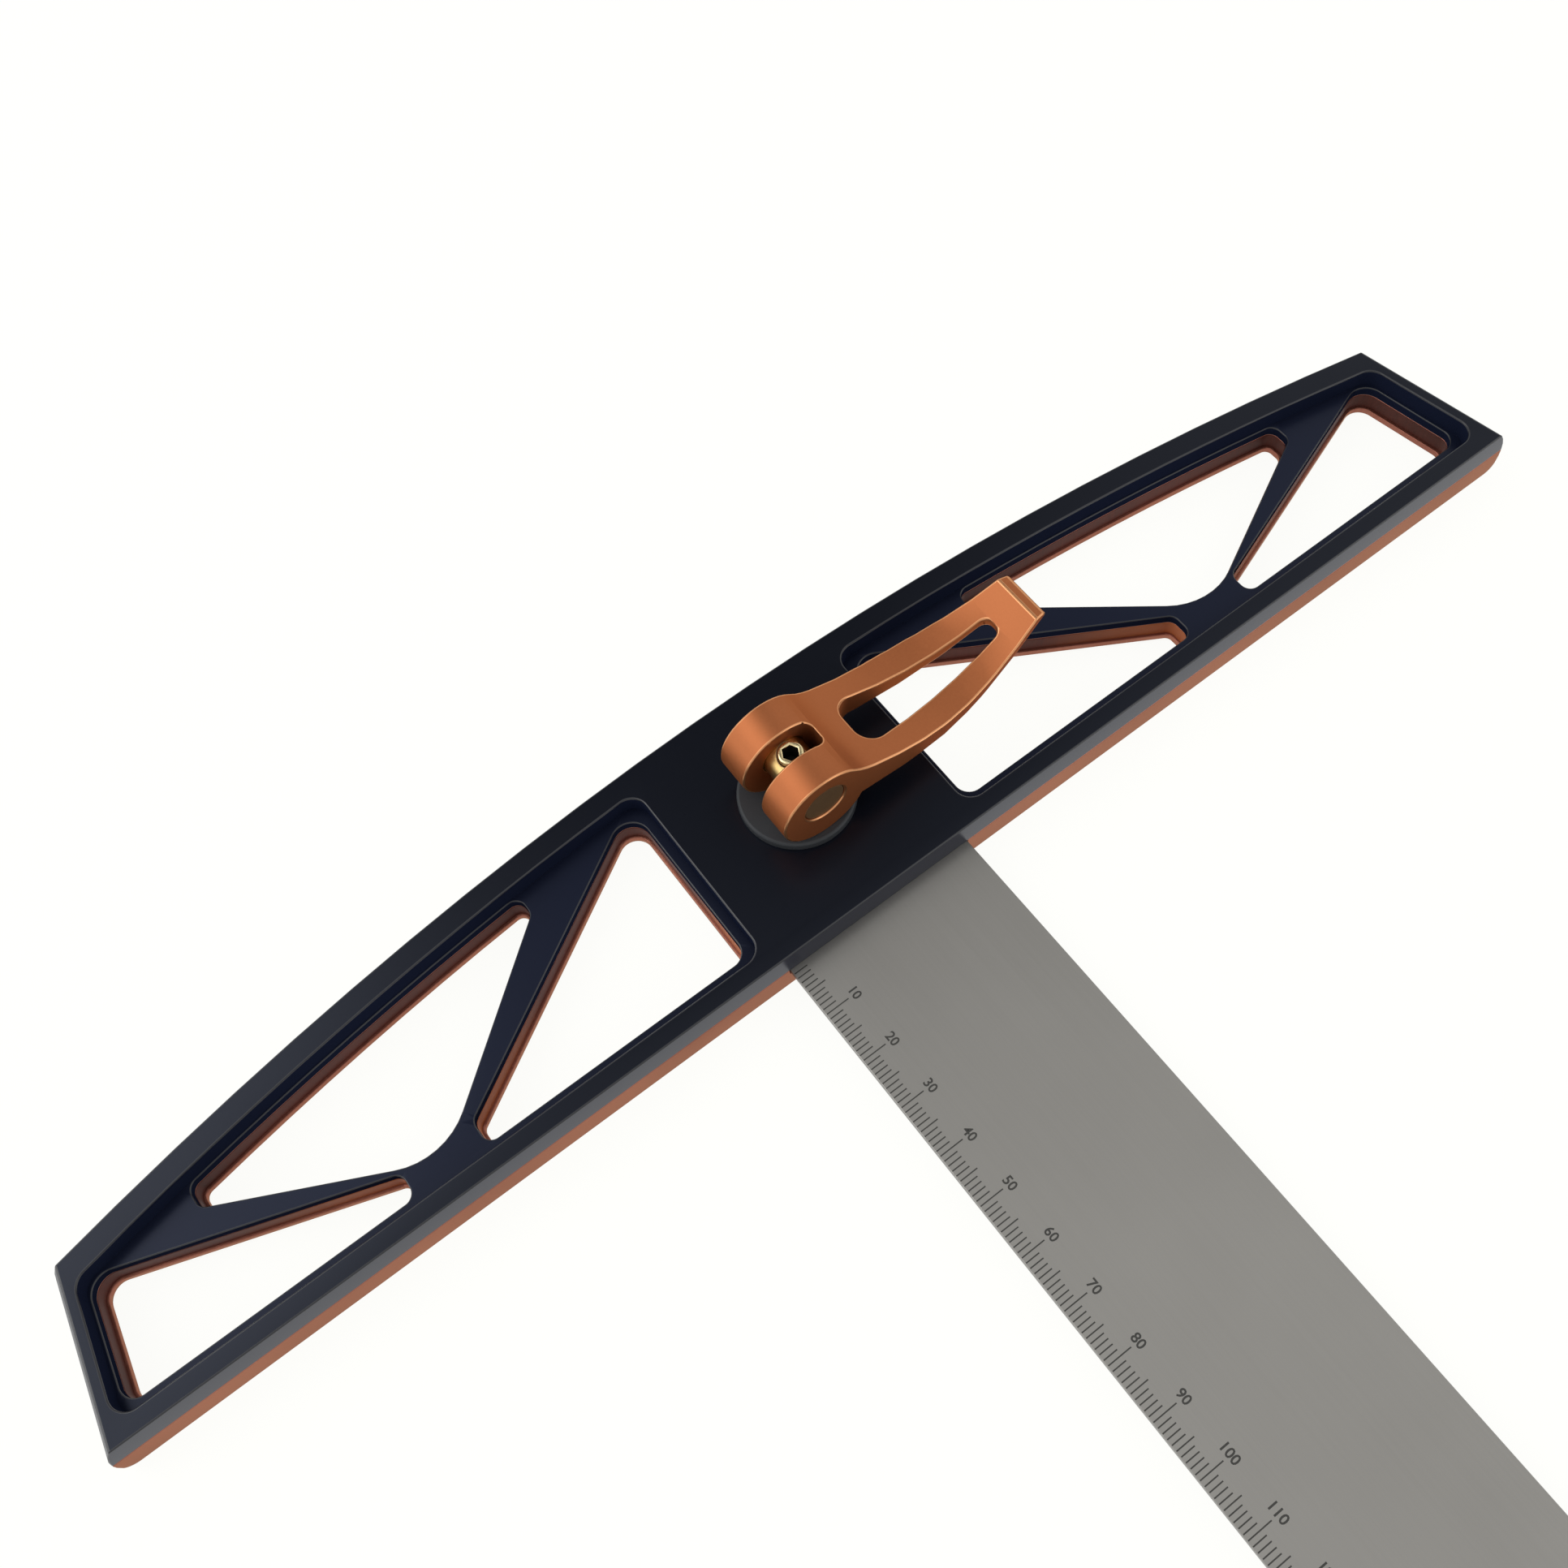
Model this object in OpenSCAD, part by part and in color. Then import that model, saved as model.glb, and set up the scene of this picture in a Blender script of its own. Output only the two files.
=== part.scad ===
// Adjustable T-square: a trussed head of two plates, a sliding steel blade and a cam lever that locks it.
// The origin is on the underside of the head, on the axis of the clamp stud. The blade runs along -Y.

/* [Head] */
// Length of the working edge along its top
head_len = 293.5; // [270:0.5:330]
// How far each back corner is set in from the end of the working edge
corner_set = 5.55; // [4:0.05:8]
// Depth of the head at its ends
end_depth = 30.6; // [29:0.2:33]
// Depth of the head at the middle of the bowed back edge
head_depth = 46; // [44:0.5:52]
// Thickness of the top plate
top_t = 6.1; // [5.6:0.1:8]
// Thickness of the base plate
base_t = 5.9; // [5.7:0.1:8.4]
// Depth of the recess in the top plate
recess_depth = 4; // [3:0.1:4.2]
// Width of the raised rim along the working edge
rim_front = 3.4; // [2.6:0.1:4]
// Width of the raised rim along the back edge
rim_back = 4.4; // [3:0.1:4.4]
// Width of the raised rim at the ends
rim_end = 2; // [1.5:0.1:2.4]
// Half width of the raised pad between the recesses
pad_half = 21.9; // [20.5:0.1:22.8]
// Corner radius of the recesses
recess_r = 3.2; // [2:0.1:5]
// How far the ends bulge out below their top edge
end_bulge = 2.4; // [1:0.1:3]
// Height of the widest place of the ends
end_low = 4.2; // [3.6:0.1:5]
// Radius that rounds the ends under at the foot
end_round = 2.4; // [1:0.1:3]

/* [Windows] */
// Strip left beside the windows along the working edge
strip_front = 5.8; // [5:0.1:6]
// Strip left beside the windows along the back edge
strip_back = 4.75; // [4.5:0.05:5.2]
// Strip left beside the windows at the ends
strip_end = 2.7; // [2.5:0.1:3.4]
// Half width of the solid middle between the inner windows
middle_half = 23.7; // [23:0.1:25]
// From the head's end to the truss foot
foot_set = 63.75; // [61:0.25:68]
// Radius in the bottom of the middle window, over the foot
foot_r = 13; // [8:0.5:18]
// Height of the crossing of the two webs at the foot
foot_y = 7.9; // [7:0.1:8.4]
// Width of the foot between the end window and the inner window
foot_w = 13.9; // [11:0.1:16]
// Height of the end window at its tip
end_tip_h = 4.7; // [4.4:0.1:5.6]
// Height of the inner window at its tip
inner_tip_h = 4.8; // [4.4:0.1:6]
// From the head's end to the outer tip of the middle window
mid_outer_set = 27.6; // [26:0.2:31]
// Place of the inner tip of the middle window
mid_inner_x = 48.7; // [45:0.1:51]
// Height of the middle window at its tips
mid_tip_h = 4.2; // [4.2:0.1:5.4]
// How far the web's edge aims above the back strip at the end wall
end_rise = 1.4; // [0:0.1:2]
// How far the web's edge aims above the back strip at the middle
inner_rise = 1.2; // [0.5:0.1:3]
// Radius of the cutter in the narrow tips
tip_r = 2; // [1.4:0.1:2.1]
// Radius of the wide window corners
wide_r = 3.6; // [2.6:0.1:5]
// Radius of the square window corners
square_r = 2.8; // [2:0.1:3.4]
// Width of the lip round the base plate's windows
lip_w = 0.5; // [0.3:0.05:0.6]
// Height of that lip's underside above the resting face
lip_z = 1.1; // [0.6:0.1:1.6]
// Height of that lip
lip_h = 1.3; // [0.8:0.1:2]
// How far the windows are cut back below the lip
lip_relief = 0.4; // [0.2:0.05:0.5]

/* [Blade] */
// Width of the blade
blade_w = 38.4; // [36:0.1:39]
// Thickness of the blade
blade_t = 1.5; // [1:0.1:1.8]
// Reach of the blade beyond the working edge
blade_reach = 307; // [200:1:420]
// Length of the blade's tail inside the head
blade_tail = 43; // [40.5:0.5:46]
// Side and bottom clearance of the blade in its channel
blade_gap = 0.1; // [0.05:0.01:0.15]
// Travel of the blade each way from the middle
blade_travel = 12; // [6:0.5:15]
// Side clearance of the stud in the blade's slot
slot_gap = 0.3; // [0.2:0.05:0.6]
// Radius of the hanging hole
hang_r = 4; // [2.5:0.1:6]
// From the blade's end to the centre of the hanging hole
hang_set = 10; // [8:0.5:16]
// Radius of the blade's outer corners
blade_corner_r = 1; // [0.5:0.1:3]

/* [Clamp] */
// From the working edge to the clamp stud
clamp_set = 23; // [22:0.5:25]
// Radius of the stud
stud_r = 2.25; // [2:0.05:2.4]
// Radius of the stud's head
stud_head_r = 4.2; // [3.6:0.1:4.8]
// Height of the stud's head
stud_head_h = 1.4; // [1:0.1:1.6]
// Height of the stud's end above the barrel's axis
stud_rise = 4.5; // [4.2:0.1:4.6]
// Width across the flats of the stud's hex socket
stud_hex = 2.6; // [2:0.1:3]
// Depth of the stud's hex socket
stud_hex_depth = 4; // [2:0.1:6]
// Running clearance round shafts
fit_gap = 0.06; // [0.03:0.01:0.1]
// Length of the clamp shoe across the blade
shoe_len = 30; // [24:0.5:34]
// Width of the clamp shoe along the blade
shoe_w = 14; // [12:0.5:16]
// Thickness of the clamp shoe
shoe_t = 2.6; // [2.4:0.1:2.8]
// Drop of the shoe when the lever is open
shoe_drop = 0.5; // [0.2:0.05:0.6]
// Side clearance of the shoe in its pocket
shoe_gap = 0.3; // [0.2:0.05:0.6]
// Radius of the cam washer
washer_r = 10.5; // [9:0.1:13]
// Thickness of the cam washer
washer_t = 1.8; // [1:0.1:3]
// Width of the washer's rounded edge
washer_edge = 0.6; // [0.3:0.1:0.9]

/* [Lever] */
// Width over the two cheeks
lever_w = 18.4; // [17:0.2:22]
// Width of the slot between the cheeks
slot_w = 5; // [4.9:0.1:7]
// From the barrel's axis to the end of the slot
slot_end = 5.6; // [5.5:0.1:6.2]
// Radius of the cam
cam_r = 8.5; // [7.8:0.1:9]
// Offset of the cam's centre below the barrel's axis
cam_offset = 1.25; // [0.8:0.05:1.8]
// Gap between the cam and its washer
cam_gap = 0.1; // [0.03:0.01:0.1]
// Radius of the barrel
barrel_r = 4; // [3.6:0.1:4.4]
// Depth of the recess at each end of the barrel
barrel_recess = 0.3; // [0.2:0.1:1]
// Reach of the lever from the barrel's axis
lever_reach = 49.7; // [44:0.1:58]
// Chamfer across the top of the lever's tip
tip_chamfer = 1.2; // [0.4:0.1:1.6]
// Place of the lowest point of the arm's hollow top
hollow_x = 28; // [25:0.5:29]
// Depth of that point below the barrel's axis
hollow_z = 2.9; // [2:0.05:3.6]
// Radius of the arm's hollow top
hollow_r = 40; // [34:0.5:50]
// Radius that blends the cam into the arm
neck_r = 12; // [8:0.5:14]
// Place of the lowest point of the arm's belly
belly_x = 19.5; // [18:0.5:22]
// Depth of that point below the barrel's axis
belly_z = 6.5; // [6.2:0.05:7.2]
// Radius of the arm's belly
belly_r = 64; // [60:1:72]
// Where the sides of the arm begin to draw in
taper_x = 20; // [16:0.5:24]
// Radius along which the sides draw in
taper_r = 85; // [70:1:120]
// Angle of the straight sides near the tip
taper_angle = 10.8; // [8:0.2:12]
// Start of the lever's window
window_x = 11.8; // [10.5:0.1:13]
// Length of the lever's window
window_len = 31.6; // [26:0.2:33]
// Half width of the lever's window at its start
window_half = 5; // [4:0.1:5.4]
// Half width of the lever's window at its end
window_tip_half = 1.9; // [1.2:0.1:2.2]
// Corner radius at the start of the lever's window
window_r = 3.2; // [2:0.1:3.6]

/* [Fasteners] */
// Radius of the plate screws
screw_r = 1; // [0.8:0.05:1.2]
// Radius of the plate screws' heads
screw_head_r = 1.9; // [1.6:0.05:2.1]
// Height of the plate screws' countersunk heads
screw_head_h = 1.1; // [0.8:0.1:1.3]
// Width across the flats of the plate screws' sockets
screw_hex = 1.3; // [0.9:0.1:1.5]
// Depth that the screws and dowels reach into the top plate
screw_reach = 1; // [0.6:0.1:1.2]
// From the back corner to the outer screw
screw_outer_set = 12.7; // [10:0.1:14]
// Place of the inner screw along the head
screw_inner_x = 38.5; // [36:0.5:40]
// From the back edge to the outer and inner screws
screw_set = 5.6; // [5:0.1:6]
// From the working edge to the foot screws
screw_foot_y = 5.6; // [4.6:0.1:6]
// Radius of the dowel pins
dowel_r = 1; // [0.8:0.05:1.2]
// Depth of the dowel pins in the base plate
dowel_depth = 4; // [3:0.1:4.6]
// Place of the front dowels along the head
dowel_front_x = 27.5; // [25.5:0.5:34]
// Place of the back dowels along the head
dowel_back_x = 31.5; // [30:0.5:33]
// From the back edge to the back dowels
dowel_set = 3; // [2.6:0.1:3.2]

/* [Hidden] */
$fn = 96;
// Reach of a cutting body past the face that it opens
cut = 1;
// Longest step along an arc of an outline, in degrees
arc_step = 9;
// Sides of the fine circle that cuts the long bowed edge
bow_sides = 720;
// Gap between fixed fasteners and their holes
seat_gap = 0.05;

// The bowed back edge is an arc through the back corners and the middle
back_len = head_len - 2 * corner_set;
bow_rise = head_depth - end_depth;
bow_r = (pow(back_len / 2, 2) + pow(bow_rise, 2)) / (2 * bow_rise);
bow_y = head_depth - bow_r;
end_dir = unit([(back_len - head_len) / 2, end_depth]);
end_in = [-end_dir[1], end_dir[0]];
work_corner = [head_len / 2, 0];

// Places along the head that keep their distance from its end
foot_x = head_len / 2 - foot_set;
mid_outer_x = head_len / 2 - mid_outer_set;
screw_outer_x = back_len / 2 - screw_outer_set;

// Heights above the resting face
top_z = base_t + top_t;
channel_z = base_t - blade_t - blade_gap;
blade_z = base_t - blade_t;
shoe_z = blade_z - shoe_t;
pocket_z = shoe_z - shoe_drop - blade_gap;
stud_z = shoe_z + seat_gap;
washer_top = top_z + washer_t;
barrel_z = washer_top + cam_gap + cam_r + cam_offset;
stud_top = barrel_z + stud_rise;
barrel_len = lever_w - 2 * barrel_recess;
floor_z = top_z - recess_depth;
blade_end = -clamp_set - blade_reach;

// Side view of an end, outward from its top edge: a bulge, rounded under at the foot
bulge_r = (pow(top_z - end_low, 2) + pow(end_bulge, 2)) / (2 * end_bulge);
bulge_c = [end_bulge - bulge_r, end_low];
round_c = [bulge_c[0] + sqrt(pow(bulge_r - end_round, 2) - pow(end_low - end_round, 2)), end_round];

// Truss windows and recesses on the +X side, as lists of arcs [centre, radius, start angle, end angle]
wall_end = work_corner + end_in * strip_end;
wall_foot = wall_end + end_dir * (strip_front - wall_end[1]) / end_dir[1];
wall_top = bow_point(bow_r - strip_back, wall_end, end_dir) + [0, end_rise];
end_tip = [foot_x + foot_w / 2, strip_front];
inner_tip = [foot_x - foot_w / 2, strip_front];
inner_top = [middle_half, bow_height(bow_r - strip_back, middle_half) + inner_rise];
mid_outer = [mid_outer_x, bow_height(bow_r - strip_back, mid_outer_x) - mid_tip_h];
mid_inner = [mid_inner_x, bow_height(bow_r - strip_back, mid_inner_x) - mid_tip_h];
foot = [foot_x, foot_y];

end_window = rounded([
    [end_tip, tip_r], [wall_foot, square_r], [wall_top, wide_r], [end_tip + [0, end_tip_h], tip_r]]);
inner_window = rounded([
    [[middle_half, strip_front], square_r], [inner_tip, tip_r],
    [inner_tip + [0, inner_tip_h], tip_r], [inner_top, wide_r]]);
mid_corners = [
    line_corner(mid_inner, foot, mid_outer, foot_r),
    line_corner(foot, mid_outer, mid_outer + [0, mid_tip_h], tip_r),
    bow_corner(mid_outer, [0, 1], [-1, 0], tip_r, bow_r - strip_back, true),
    bow_corner(mid_inner, [0, 1], [1, 0], tip_r, bow_r - strip_back, false),
    line_corner(mid_inner + [0, mid_tip_h], mid_inner, foot, tip_r)];
mid_window = bowed(mid_corners, bow_r - strip_back, 2);

rim_wall = work_corner + end_in * rim_end;
rim_foot = rim_wall + end_dir * (rim_front - rim_wall[1]) / end_dir[1];
recess_corners = [
    line_corner([pad_half, head_depth], [pad_half, rim_front], rim_foot, recess_r),
    line_corner([pad_half, rim_front], rim_foot, rim_foot + end_dir, recess_r),
    bow_corner(rim_foot, end_dir, end_in, recess_r, bow_r - rim_back, true),
    bow_corner([pad_half, rim_front], [0, 1], [1, 0], recess_r, bow_r - rim_back, false)];
recess = bowed(recess_corners, bow_r - rim_back, 2);

// Screws and dowels on the +X side
screw_places = [
    [foot_x, screw_foot_y],
    [screw_outer_x, bow_height(bow_r, screw_outer_x) - screw_set],
    [screw_inner_x, bow_height(bow_r, screw_inner_x) - screw_set]];
dowel_places = [
    [dowel_front_x, rim_front / 2],
    [dowel_back_x, bow_height(bow_r, dowel_back_x) - dowel_set]];
screws = both_sides(screw_places);
dowels = both_sides(dowel_places);

// Side view of the lever, about the barrel's axis
cam_c = [0, -cam_offset];
hollow_c = [hollow_x, hollow_r - hollow_z];
belly_c = [belly_x, belly_r - belly_z];
neck_c = circles_meet(cam_c, cam_r + neck_r, hollow_c, hollow_r - neck_r, -1);
neck_low = hollow_c + unit(neck_c - hollow_c) * hollow_r;
crease = circles_meet(cam_c, cam_r, belly_c, belly_r, -1);
tip_top = on_circle(hollow_c, hollow_r, lever_reach);
tip_low = line_circle(tip_top, unit(tip_top - hollow_c), belly_c, belly_r);
tip_shoulder = on_circle(hollow_c, hollow_r, lever_reach - tip_chamfer);
tip_edge = tip_top + unit(tip_low - tip_top) * tip_chamfer;

// Half of the lever's plan, from the cam's nose to the tip
taper_c = [taper_x, lever_w / 2 - taper_r];
taper_out = taper_c + taper_r * [sin(taper_angle), cos(taper_angle)];
tip_x = lever_reach + cam_r;
tip_half = taper_out[1] - (tip_x - taper_out[0]) * tan(taper_angle);

function unit(v) = v / norm(v);
function mirror_x(p) = [-p[0], p[1]];
function both_sides(list) = [for (side = [1, -1]) for (p = list) [side * p[0], p[1]]];
function angle_of(v) = atan2(v[1], v[0]);
function turn_to(a, b) = let (d = b - a) d > 180 ? d - 360 : d < -180 ? d + 360 : d;

// Height of the bow of radius r at x, and the point where a line from p along d meets it
function bow_height(r, x) = bow_y + sqrt(r * r - x * x);
function bow_point(r, p, d) = line_circle(p, d, [0, bow_y], r);

// An arc entry from its centre, radius and end points
function arc_entry(c, r, from, to) =
    let (a = angle_of(from - c))
    [c, r, a, a + turn_to(a, angle_of(to - c))];

// The arc that rounds the corner p between the sides towards a and b
function line_corner(a, p, b, r) =
    let (u = unit(a - p), v = unit(b - p), half = acos(u * v) / 2, c = p + unit(u + v) * r / sin(half))
    arc_entry(c, r, p + u * r / tan(half), p + v * r / tan(half));

// The arc that rounds the corner between the side through p along d and the bow of radius bow
function bow_corner(p, d, into, r, bow, side_first) =
    let (c = bow_point(bow - r, p + into * r, d), on_side = c - into * r,
         on_bow = [0, bow_y] + unit(c - [0, bow_y]) * bow)
    side_first ? arc_entry(c, r, on_side, on_bow) : arc_entry(c, r, on_bow, on_side);

// A polygon's corners [point, radius] as arcs
function rounded(list) =
    let (n = len(list))
    [for (i = [0:n - 1])
        line_corner(list[(i + n - 1) % n][0], list[i][0], list[(i + 1) % n][0], list[i][1])];

// Corner arcs with the arc of the bow put in after corner k
function arc_end(e) = e[0] + e[1] * [cos(e[3]), sin(e[3])];
function arc_start(e) = e[0] + e[1] * [cos(e[2]), sin(e[2])];
function bow_arc(bow, a, b) = arc_entry([0, bow_y], bow, arc_end(a), arc_start(b));
function bowed(list, bow, k) = [
    for (i = [0:len(list) - 1])
        each i == k ? [list[i], bow_arc(bow, list[i], list[i + 1])] : [list[i]]];

// Points along arc entries, drawn in by inset
function arc_points(e, inset = 0) =
    let (n = max(3, ceil(abs(e[3] - e[2]) * max(1, e[1] / 60) / arc_step)))
    [for (i = [0:n]) let (a = e[2] + (e[3] - e[2]) * i / n) e[0] + (e[1] - inset) * [cos(a), sin(a)]];
function outline(list, inset = 0) = [for (e = list) each arc_points(e, inset)];

// Meeting point of two circles, on the left of the line between their centres for side 1
function circles_meet(a, ra, b, rb, side) =
    let (d = norm(b - a), u = (b - a) / d, t = (d * d + ra * ra - rb * rb) / (2 * d))
    a + u * t + side * [-u[1], u[0]] * sqrt(ra * ra - t * t);
function on_circle(c, r, x) = [x, c[1] - sqrt(r * r - pow(x - c[0], 2))];
function line_circle(p, d, c, r) = let (q = p - c, b = q * d) p + d * (-b + sqrt(b * b - q * q + r * r));

module mirrored() {
    children();
    mirror([1, 0, 0]) children();
}

// Moves head geometry from the working edge to the stud's axis
module from_edge(z = 0) {
    translate([0, -clamp_set, z]) children();
}

// Plan of the head, with room at the ends for their bulge
module head_outline() {
    low = work_corner + [2 * end_bulge, 0];
    high = low + end_dir * 2 * head_depth;
    intersection() {
        polygon([low, high, mirror_x(high), mirror_x(low)]);
        translate([0, bow_y]) circle(r = bow_r, $fn = bow_sides);
    }
}

module end_form() {
    turn = angle_of(round_c - bulge_c);
    translate([head_len / 2, 0, 0])
    rotate([90, 0, angle_of(-end_in)])
    linear_extrude(3 * head_len, center = true)
    polygon(concat(
        [[-2 * head_len, 0]],
        arc_points([round_c, end_round, -90, turn]),
        arc_points([bulge_c, bulge_r, turn, angle_of([0, top_z] - bulge_c)]),
        [[-2 * head_len, top_z]]));
}

// A slice of the head's outer form, from height z up by h
module head_slice(z, h) {
    intersection() {
        translate([0, 0, z]) linear_extrude(h) head_outline();
        end_form();
        mirror([1, 0, 0]) end_form();
    }
}

module windows(inset = 0) {
    mirrored() {
        polygon(outline(end_window, inset));
        polygon(outline(mid_window, inset));
        polygon(outline(inner_window, inset));
    }
}

module top_plate() {
    color("#1b1d24")
    from_edge()
    difference() {
        head_slice(base_t, top_t + cut);
        translate([0, 0, floor_z]) linear_extrude(recess_depth + cut) mirrored() polygon(outline(recess));
        translate([0, 0, base_t - cut]) linear_extrude(top_t + 2 * cut) windows();
        translate([0, clamp_set, base_t - cut]) cylinder(r = stud_r + fit_gap, h = top_t + 2 * cut);
        for (p = screws) blind_hole(p, screw_r);
        for (p = dowels) blind_hole(p, dowel_r);
    }
}

module blind_hole(p, r) {
    translate([p[0], p[1], base_t - cut]) cylinder(r = r + seat_gap, h = screw_reach + seat_gap + cut);
}

module base_plate() {
    color("#b5714f")
    from_edge()
    difference() {
        head_slice(-cut, base_t + cut);
        translate([0, 0, lip_z + lip_h]) linear_extrude(base_t) windows();
        translate([0, 0, -cut]) linear_extrude(base_t + cut) windows(lip_w);
        translate([0, 0, -cut]) linear_extrude(lip_z + cut) windows(-lip_relief);
        translate([-blade_w / 2 - blade_gap, -cut, channel_z])
            cube([blade_w + 2 * blade_gap, head_depth + 2 * cut, base_t]);
        translate([0, clamp_set, pocket_z])
            linear_extrude(base_t) shoe_outline(shoe_gap);
        for (p = screws) translate([p[0], p[1], 0]) screw_hole();
        for (p = dowels)
            translate([p[0], p[1], base_t - dowel_depth - seat_gap])
                cylinder(r = dowel_r + seat_gap, h = base_t);
    }
}

module screw_hole() {
    translate([0, 0, -cut]) cylinder(r = screw_r + 3 * seat_gap, h = base_t + 2 * cut);
    translate([0, 0, -seat_gap])
        cylinder(
            r1 = screw_head_r + 2 * seat_gap,
            r2 = screw_r + 2 * seat_gap,
            h = screw_head_h + seat_gap);
}

module plate_screw(p) {
    color("#3a3a3d")
    from_edge()
    translate([p[0], p[1], seat_gap])
    difference() {
        union() {
            cylinder(r1 = screw_head_r, r2 = screw_r, h = screw_head_h);
            translate([0, 0, screw_head_h / 2])
                cylinder(r = screw_r, h = base_t + screw_reach - seat_gap - screw_head_h / 2);
        }
        translate([0, 0, -cut]) cylinder(d = screw_hex / cos(30), h = screw_head_h + cut, $fn = 6);
    }
}

module dowel_pin(p) {
    color("#9a9ca0")
    from_edge(base_t - dowel_depth)
    translate([p[0], p[1], 0])
        cylinder(r = dowel_r, h = dowel_depth + screw_reach);
}

module blade() {
    color("#8d8d8c")
    translate([0, 0, blade_z])
    difference() {
        linear_extrude(blade_t) polygon(outline(rounded([
            [[blade_w / 2, blade_tail - clamp_set], blade_corner_r],
            [[-blade_w / 2, blade_tail - clamp_set], blade_corner_r],
            [[-blade_w / 2, blade_end], blade_corner_r],
            [[blade_w / 2, blade_end], blade_corner_r]])));
        translate([0, 0, -cut]) blade_slot(blade_t + 2 * cut);
        translate([0, blade_end + hang_set, -cut]) cylinder(r = hang_r, h = blade_t + 2 * cut);
    }
}

module blade_slot(h) {
    slot_r = stud_r + slot_gap;
    for (side = [-1, 1])
        translate([0, side * blade_travel, 0]) cylinder(r = slot_r, h = h);
    translate([-slot_r, -blade_travel, 0]) cube([2 * slot_r, 2 * blade_travel, h]);
}

module cam_washer() {
    color("#2a2b2f")
    translate([0, 0, top_z])
    rotate_extrude()
    polygon(concat(
        [[stud_r + fit_gap, 0], [washer_r, 0]],
        arc_points([[washer_r - washer_edge, washer_t - washer_edge], washer_edge, 0, 90]),
        [[stud_r + fit_gap, washer_t]]));
}

module shoe_outline(grow = 0) {
    square([shoe_len + 2 * grow, shoe_w + 2 * grow], center = true);
}

module clamp_shoe() {
    color("#8a8c90")
    translate([0, 0, shoe_z])
    difference() {
        linear_extrude(shoe_t) shoe_outline();
        translate([0, 0, -cut]) cylinder(r = stud_r + fit_gap, h = shoe_t + 2 * cut);
        translate([0, 0, -cut]) cylinder(r = stud_head_r + fit_gap, h = stud_head_h + 2 * seat_gap + cut);
    }
}

module clamp_stud() {
    color("#cdb98a")
    difference() {
        union() {
            translate([0, 0, stud_z]) cylinder(r = stud_head_r, h = stud_head_h);
            translate([0, 0, stud_z]) cylinder(r = stud_r, h = stud_top - stud_z);
        }
        translate([0, 0, stud_top - stud_hex_depth])
            cylinder(d = stud_hex / cos(30), h = stud_hex_depth + cut, $fn = 6);
    }
}

module barrel_nut() {
    color("#a08a58")
    translate([0, 0, barrel_z])
    difference() {
        rotate([90, 0, 0]) cylinder(r = barrel_r, h = barrel_len, center = true);
        cylinder(r = stud_r + fit_gap, h = 2 * barrel_r + 2 * cut, center = true);
    }
}

// Side view of the lever: cam, blended neck, hollow top, chamfered tip and bellied underside
module lever_side() {
    polygon(concat(
        arc_points([cam_c, cam_r, angle_of(crease - cam_c), angle_of(neck_c - cam_c) - 360]),
        arc_points(arc_entry(neck_c, neck_r, cam_c + unit(neck_c - cam_c) * cam_r, neck_low)),
        arc_points(arc_entry(hollow_c, hollow_r, neck_low, tip_shoulder)),
        [tip_edge],
        arc_points(arc_entry(belly_c, belly_r, tip_low, crease))));
}

// Plan of the lever: parallel over the cam, then drawn in to the tip
module lever_plan() {
    half = concat(
        [[-2 * cam_r, lever_w / 2]],
        arc_points([taper_c, taper_r, 90, 90 - taper_angle]),
        [[tip_x, tip_half]]);
    polygon(concat(half, [for (i = [len(half) - 1:-1:0]) [half[i][0], -half[i][1]]]));
}

module lever_window() {
    polygon(outline(rounded([
        [[window_x, -window_half], window_r],
        [[window_x + window_len, -window_tip_half], window_tip_half - seat_gap],
        [[window_x + window_len, window_tip_half], window_tip_half - seat_gap],
        [[window_x, window_half], window_r]])));
}

module lever_slot() {
    slot_r = slot_w / 3;
    polygon(concat(
        [[-2 * cam_r, slot_w / 2], [-2 * cam_r, -slot_w / 2]],
        arc_points([[slot_end - slot_r, slot_r - slot_w / 2], slot_r, -90, 0]),
        arc_points([[slot_end - slot_r, slot_w / 2 - slot_r], slot_r, 0, 90])));
}

module lever() {
    tall = 4 * cam_r;
    color("#b8683a")
    translate([0, 0, barrel_z])
    difference() {
        intersection() {
            rotate([90, 0, 0]) linear_extrude(2 * lever_w, center = true) lever_side();
            linear_extrude(tall, center = true) lever_plan();
        }
        linear_extrude(tall, center = true) lever_slot();
        linear_extrude(tall, center = true) lever_window();
        rotate([90, 0, 0]) cylinder(r = barrel_r + fit_gap, h = 2 * lever_w, center = true);
    }
}

top_plate();
base_plate();
blade();
cam_washer();
lever();
barrel_nut();
clamp_stud();
clamp_shoe();
for (i = [1:len(screws)]) plate_screw(screws[i - 1]);
for (i = [1:len(dowels)]) dowel_pin(dowels[i - 1]);
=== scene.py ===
import bmesh
import bpy
import numpy as np
from mathutils import Matrix, Vector


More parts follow.
